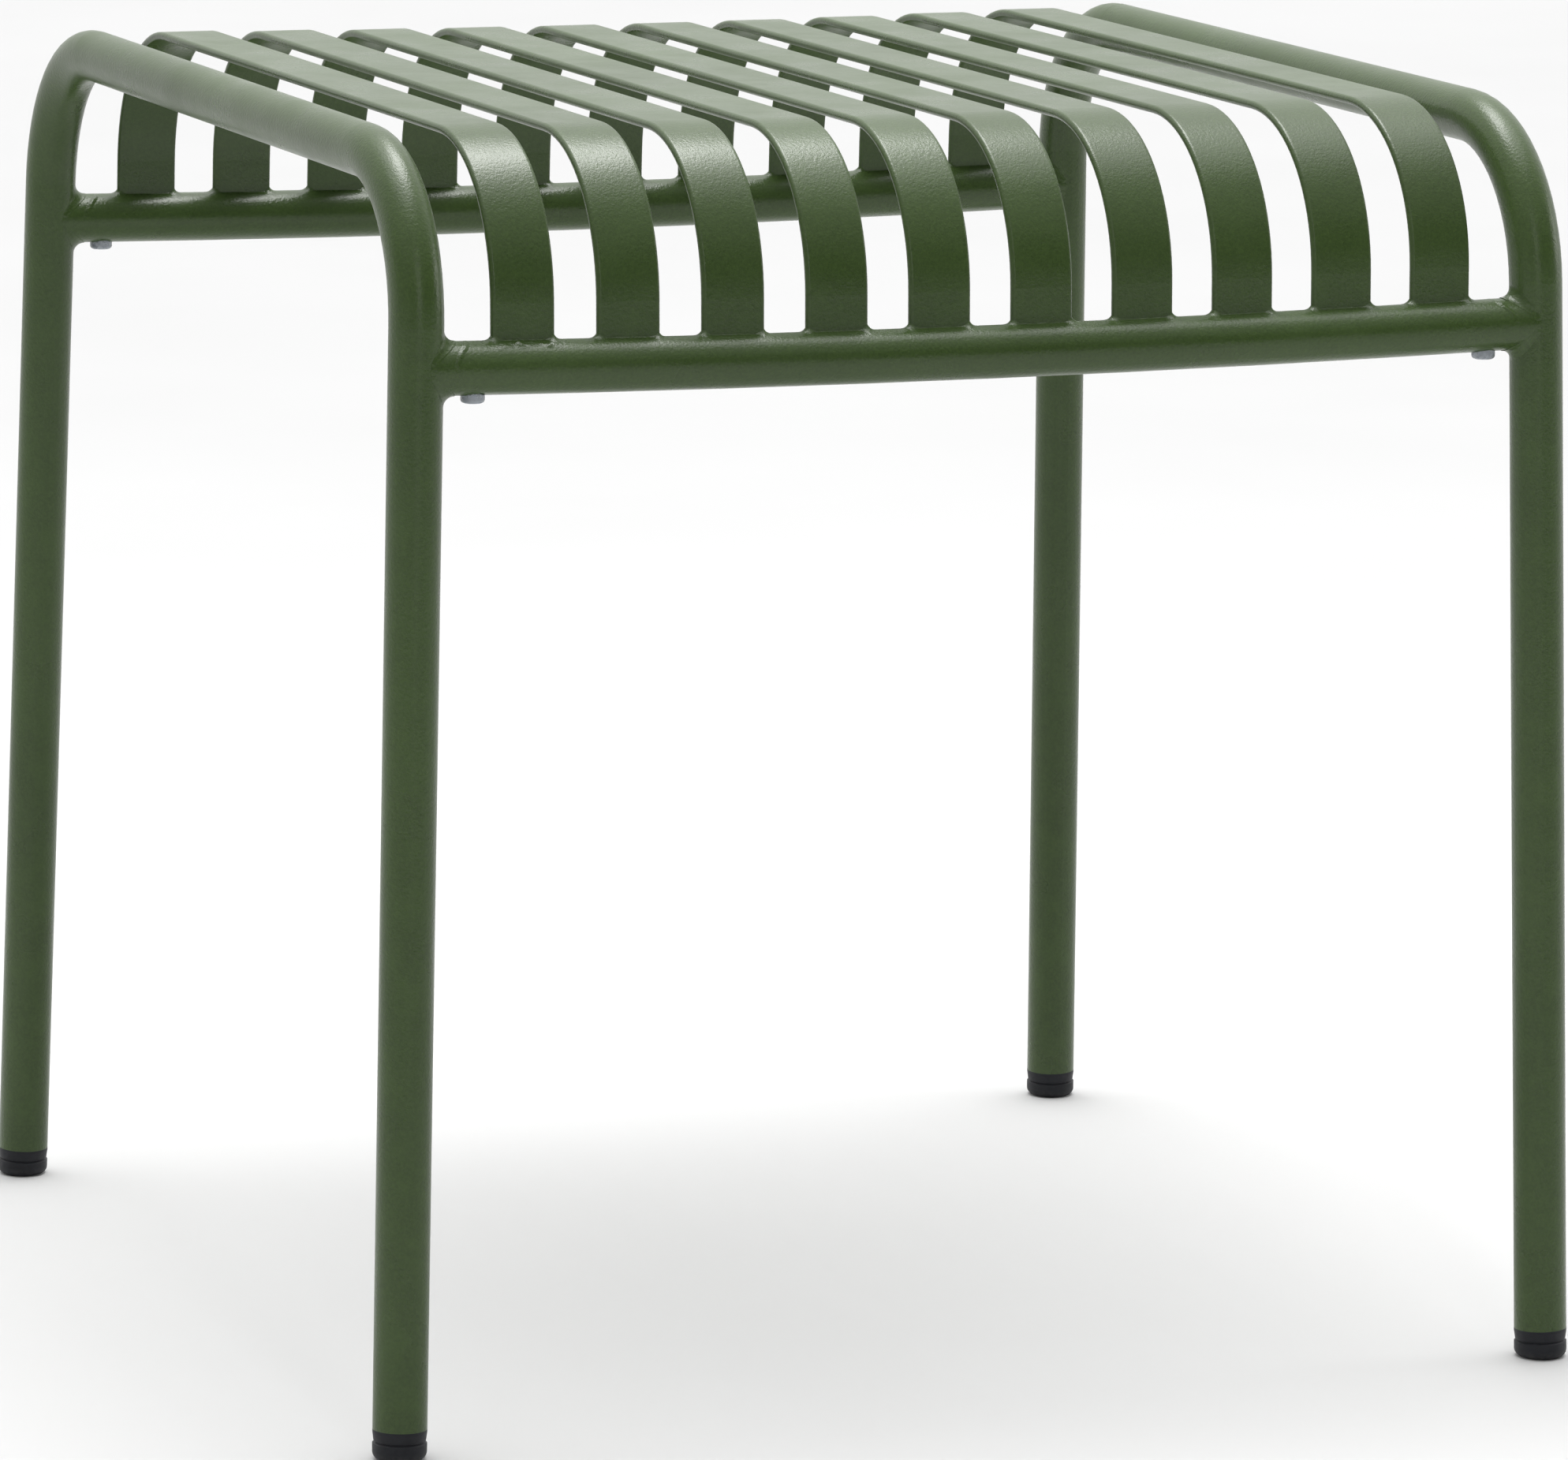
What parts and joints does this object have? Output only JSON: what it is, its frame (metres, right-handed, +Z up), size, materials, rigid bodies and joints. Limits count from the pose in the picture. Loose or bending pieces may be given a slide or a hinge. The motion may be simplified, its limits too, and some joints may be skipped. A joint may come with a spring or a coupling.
{
  "type": "backless bench",
  "caption": "Low backless garden seat: two bent-tube side frames joined by round cross rails, crowned flat-bar slats running front to back, plastic foot caps.",
  "frame": {"origin": "on the floor under the middle of the seat", "axes": "+X along the cross rails to the right side frame, +Y from the front to the rear along the slats, +Z up"},
  "size_m": [0.4566, 0.4656, 0.4539],
  "materials": {
    "frame_coat": "fine satin powder coat",
    "slat_coat": "fine satin powder coat",
    "weld_coat": "satin powder coat over dressed welds",
    "foot_plastic": "moulded, slightly scuffed",
    "bumper_plastic": "soft translucent plastic"
  },
  "bodies": {
    "root": {"foot_cap_front_left": "foot_plastic", "foot_cap_front_right": "foot_plastic", "foot_cap_rear_left": "foot_plastic", "foot_cap_rear_right": "foot_plastic", "front_rail": "frame_coat", "rail_weld_front_left": "weld_coat", "rail_weld_front_right": "weld_coat", "rail_weld_rear_left": "weld_coat", "rail_weld_rear_right": "weld_coat", "rear_rail": "frame_coat", "side_frame_left": "frame_coat", "side_frame_right": "frame_coat", "slat_01": "slat_coat", "slat_02": "slat_coat", "slat_03": "slat_coat", "slat_04": "slat_coat", "slat_05": "slat_coat", "slat_06": "slat_coat", "slat_07": "slat_coat", "slat_08": "slat_coat", "slat_09": "slat_coat", "slat_10": "slat_coat", "slat_welds_front": "weld_coat", "slat_welds_rear": "weld_coat", "stacking_bumper_front_left": "bumper_plastic", "stacking_bumper_front_right": "bumper_plastic", "stacking_bumper_rear_left": "bumper_plastic", "stacking_bumper_rear_right": "bumper_plastic"}
  },
  "joints": []
}
